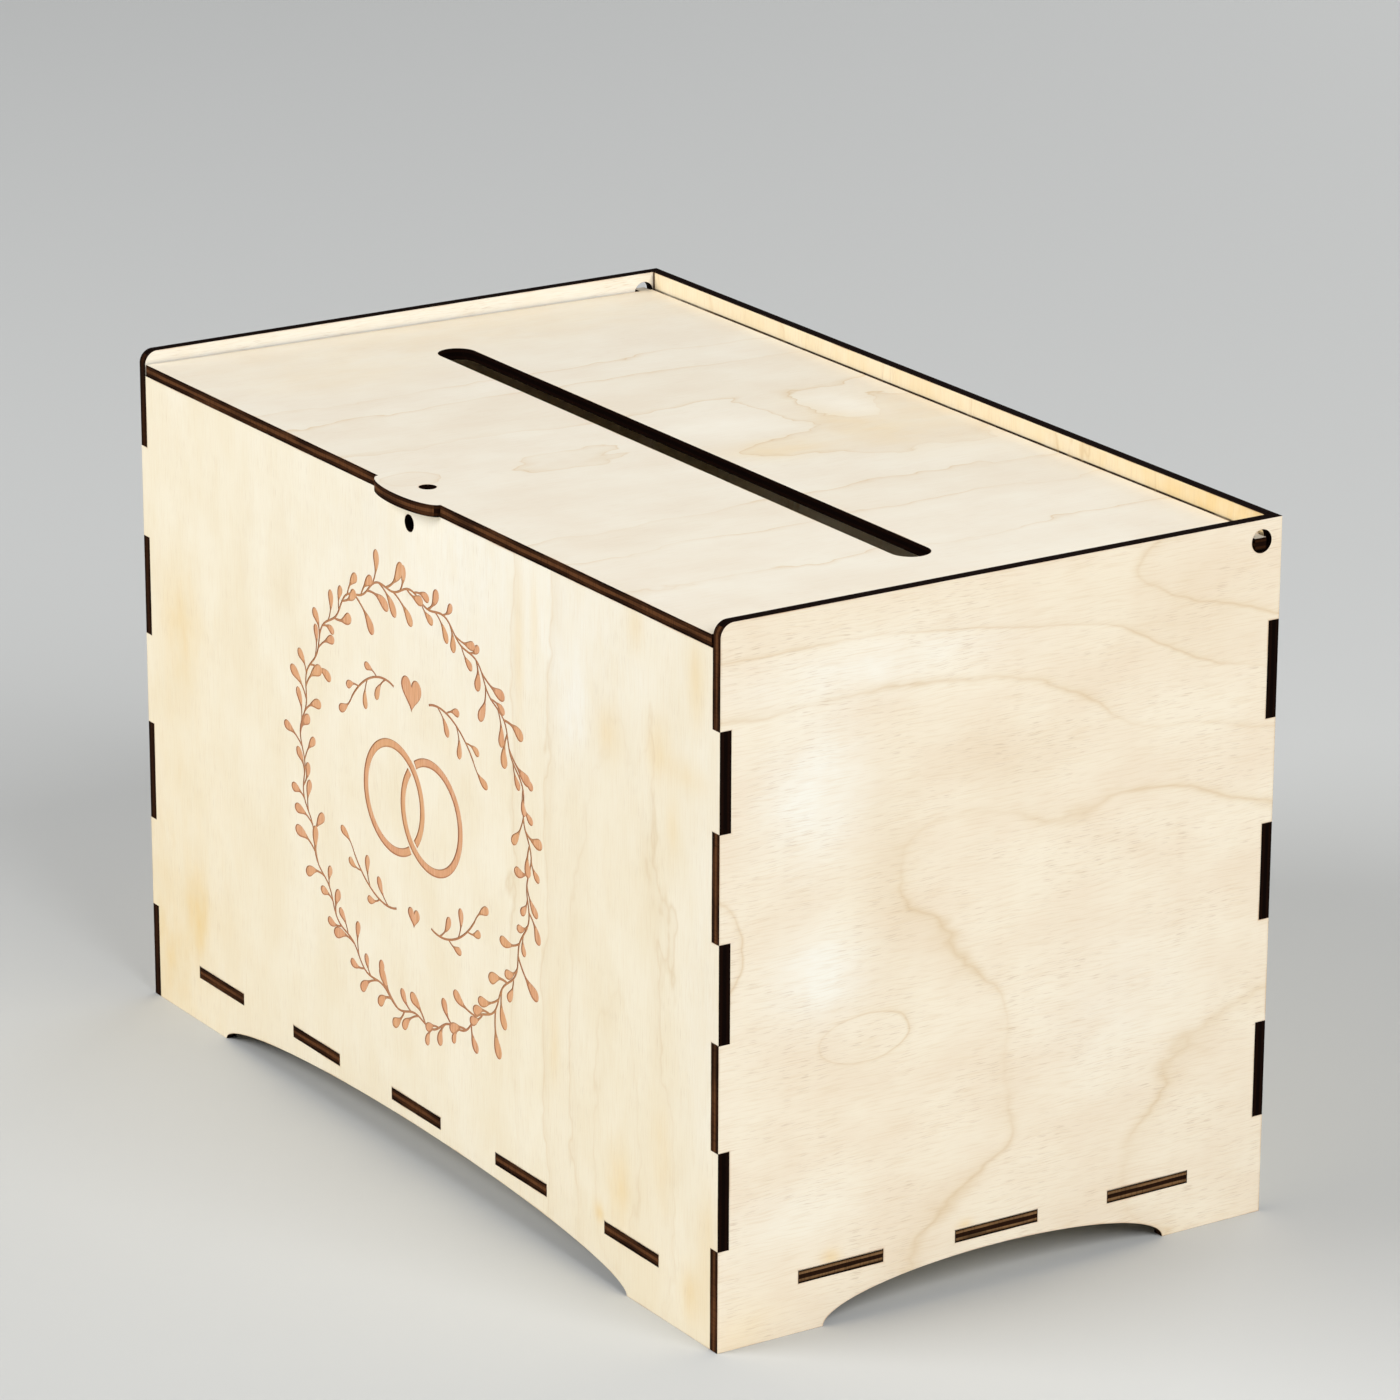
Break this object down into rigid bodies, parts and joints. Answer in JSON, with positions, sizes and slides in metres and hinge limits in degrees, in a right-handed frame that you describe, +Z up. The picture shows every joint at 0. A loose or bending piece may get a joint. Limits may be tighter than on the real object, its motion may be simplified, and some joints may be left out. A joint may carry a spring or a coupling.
{
  "type": "wedding card box",
  "caption": "Flat-pack plywood wedding card box: finger-jointed walls on arched feet, a tabbed base, and a lid with a card slot that swings up on its own ears.",
  "frame": {"origin": "middle of the footprint, the lid's tongue included, on the surface that the box stands on", "axes": "+X to the right along the engraved front, +Y from the front to the back, +Z up"},
  "size_m": [0.31, 0.183, 0.2],
  "materials": {
    "birch_ply": "bare sanded birch plywood with edges charred by the laser"
  },
  "bodies": {
    "box": {"front_panel": "birch_ply", "back_panel": "birch_ply", "left_panel": "birch_ply", "right_panel": "birch_ply", "base_panel": "birch_ply"},
    "lid": {"lid": "birch_ply"}
  },
  "joints": [
    {"name": "lid_hinge", "type": "hinge", "parent": "box", "child": "lid", "pos_m": [0, 0.08479, 0.19399], "axis": [-1, 0, 0], "range_deg": [0, 110]}
  ]
}
